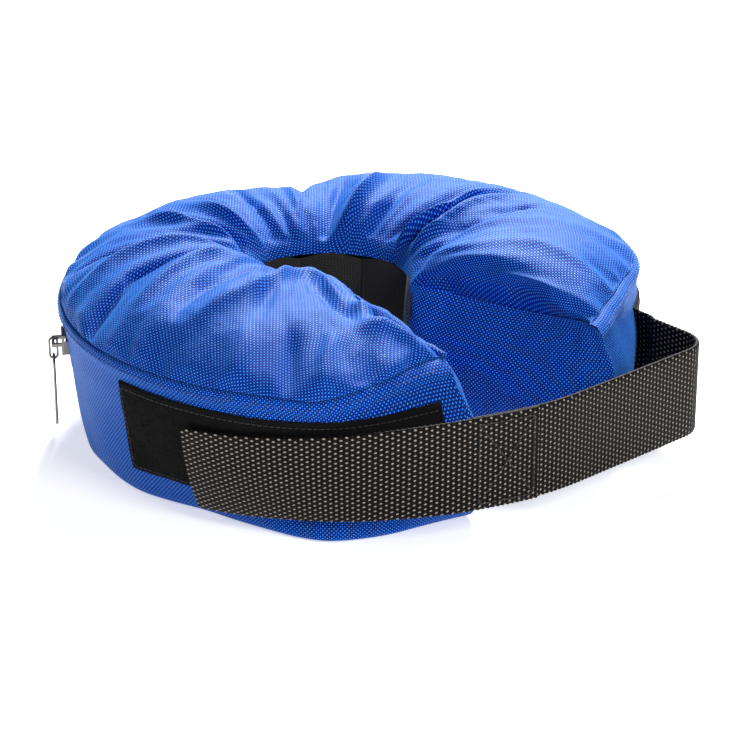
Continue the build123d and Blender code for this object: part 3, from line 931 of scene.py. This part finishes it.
def make_pouches():
    """The pouches inside, a little smaller than the solids that stand for them."""
    floor_gap = 0.004
    kinds = (("liner", liner_mat, 0.82, "liner_canvas"), ("fill", fill_mat, 0.8, "shot_fill"))
    for i in range(1, 6):
        for kind, m, share, slot in kinds:
            name = f"pouch_{kind}_{i}"
            ob = bpy.data.objects.new(f"shot_{kind}_{i}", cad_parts[name].data.copy())
            bpy.context.scene.collection.objects.link(ob)
            low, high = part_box(name)
            middle = (low + high) / 2
            middle.z = floor_gap
            shrink = Matrix.Diagonal((share, share, share * 0.8, 1))
            ob.data.transform(Matrix.Translation(middle) @ shrink @ Matrix.Translation(-middle))
            dress(ob, m, slot, "bag")
            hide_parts(name)


def make_bag():
    s, P, free = top_surface()
    W, slot_row = wall_grid(s)
    wall = make_wall(s, W, slot_row)
    shell = make_shell(s, P, free, W)
    bottom, lining = make_bottom(s, W), make_lining()
    for ob in (shell, wall, bottom):
        dress(ob, blue, "nylon_blue", "bag")
    dress(lining, black_cloth, "lining_black", "bag")
    dress(make_end_roll(P), blue, "nylon_blue", "bag")
    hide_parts("top_panel", "end_panel_left", "end_panel_right")
    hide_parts("wall_left", "wall_right", "wall_back_lower", "wall_back_upper")
    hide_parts("bottom_panel")
    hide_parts("inner_wall")
    dress(make_seam_stitches(), blue_thread, "nylon_blue", "bag")


def at_length(L):
    return tuple(strap_point(L, 32.0, 0.0) * MM)


def make_strap():
    front = webbing_piece("strap_front_webbing", 0, OVERLAP[1])
    middle = webbing_piece("strap_middle_webbing", OVERLAP[0], MIDDLE_END, lift=-1.0)
    rear = webbing_piece("strap_rear_webbing", MIDDLE_END, SWING_L + ROOT_LENGTH, lift=-1.0)
    hooks = webbing_piece("hook_strip", 1.5, OVERLAP[0] - 2, lift=-1.75, thick=1.3, half=18.5, pitch=1.3,
                          rib=0.2)
    box_stitch, root_stitch = make_strap_stitches()
    dress(front, webbing, "webbing_black", "strap_front")
    dress(hooks, hook_mat, "hook_black", "strap_front")
    dress(box_stitch, black_thread, "webbing_black", "strap_front")
    dress(root_stitch, black_thread, "webbing_black", "bag")
    dress(middle, webbing, "webbing_black")
    dress(rear, webbing, "webbing_black")
    at_length(PEEL + 5)
    at_length(PEEL - 5)
    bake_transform(middle)
    at_length(SWING_L + 6)
    at_length(SWING_L - 6)
    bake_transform(rear)
    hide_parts("strap_front")
    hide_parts("hook_tape")
    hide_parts("strap_root", "strap_rear")


def make_patch_and_zip():
    patch = make_patch()
    dress(patch, loop_mat, "loop_black", "bag")
    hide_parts("loop_patch")
    dress(make_patch_stitches(), black_thread, "loop_black", "bag")
    for half, side in (("lower", -1), ("upper", 1)):
        coil = make_coil(f"coil_turns_{half}", side)
        dress(coil, coil_mat, "zip_coil", "bag")
        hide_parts(f"zip_coil_{half}")
    dress(make_zip_stitches(), blue_thread, "nylon_blue", "bag")


# ------------------------------------------------------------ stage, light, camera
def make_stage():
    far = 30000
    corners = [(-far, -far, 0), (far, -far, 0), (far, far, 0), (-far, far, 0)]
    floor = mesh_from("floor", corners, [(0, 1, 2, 3)])
    material, _, bsdf = new_material("floor")
    bsdf.inputs["Base Color"].default_value = (0.86, 0.86, 0.86, 1)
    bsdf.inputs["Roughness"].default_value = 0.9
    bsdf.inputs["Emission Color"].default_value = (1, 1, 1, 1)
    bsdf.inputs["Emission Strength"].default_value = 0.55
    floor.data.materials.append(material)
    world = bpy.data.worlds.new("w")
    bpy.context.scene.world = world
    world.use_nodes = True
    world.node_tree.nodes["Background"].inputs[0].default_value = (0.95, 0.97, 1, 1)
    world.node_tree.nodes["Background"].inputs[1].default_value = 0.10


def area(name, location, size, power):
    """Soft light aimed at the bag."""
    light = bpy.data.lights.new(name, "AREA")
    light.size = size
    light.energy = power
    ob = bpy.data.objects.new(name, light)
    bpy.context.scene.collection.objects.link(ob)
    ob.location = location
    ob.rotation_euler = (Vector((0, 0, 0.05)) - Vector(location)).to_track_quat("-Z", "Y").to_euler()


def make_camera(elevation=24.0, azimuth=-45.0, distance=1.2):
    e, a = math.radians(elevation), math.radians(azimuth)
    back = Vector((math.sin(a) * math.cos(e), -math.cos(a) * math.cos(e), math.sin(e)))
    right = Vector((math.cos(a), math.sin(a), 0))
    up = right.cross(-back)
    camera = bpy.data.cameras.new("camera")
    camera.lens = 132.5
    camera.sensor_width = 36
    camera.clip_start = 0.01
    ob = bpy.data.objects.new("camera", camera)
    bpy.context.scene.collection.objects.link(ob)
    aim = Vector((0.00919, -0.00398, 0.035))
    ob.location = aim + distance * (back + 0.00797 * right - 0.0163 * up)
    ob.rotation_euler = Matrix((right, up, back)).transposed().to_euler()
    bpy.context.scene.camera = ob
    bpy.context.scene.view_settings.view_transform = "Standard"


dress_frame()
make_pouches()
make_bag()
make_strap()
make_patch_and_zip()
make_stage()
area("back", (0.85, 0.55, 0.85), 0.5, 58)
area("left", (-0.9, 0.35, 0.7), 0.5, 2)
area("front", (-0.15, -1.2, 0.8), 0.5, 13)
make_camera()
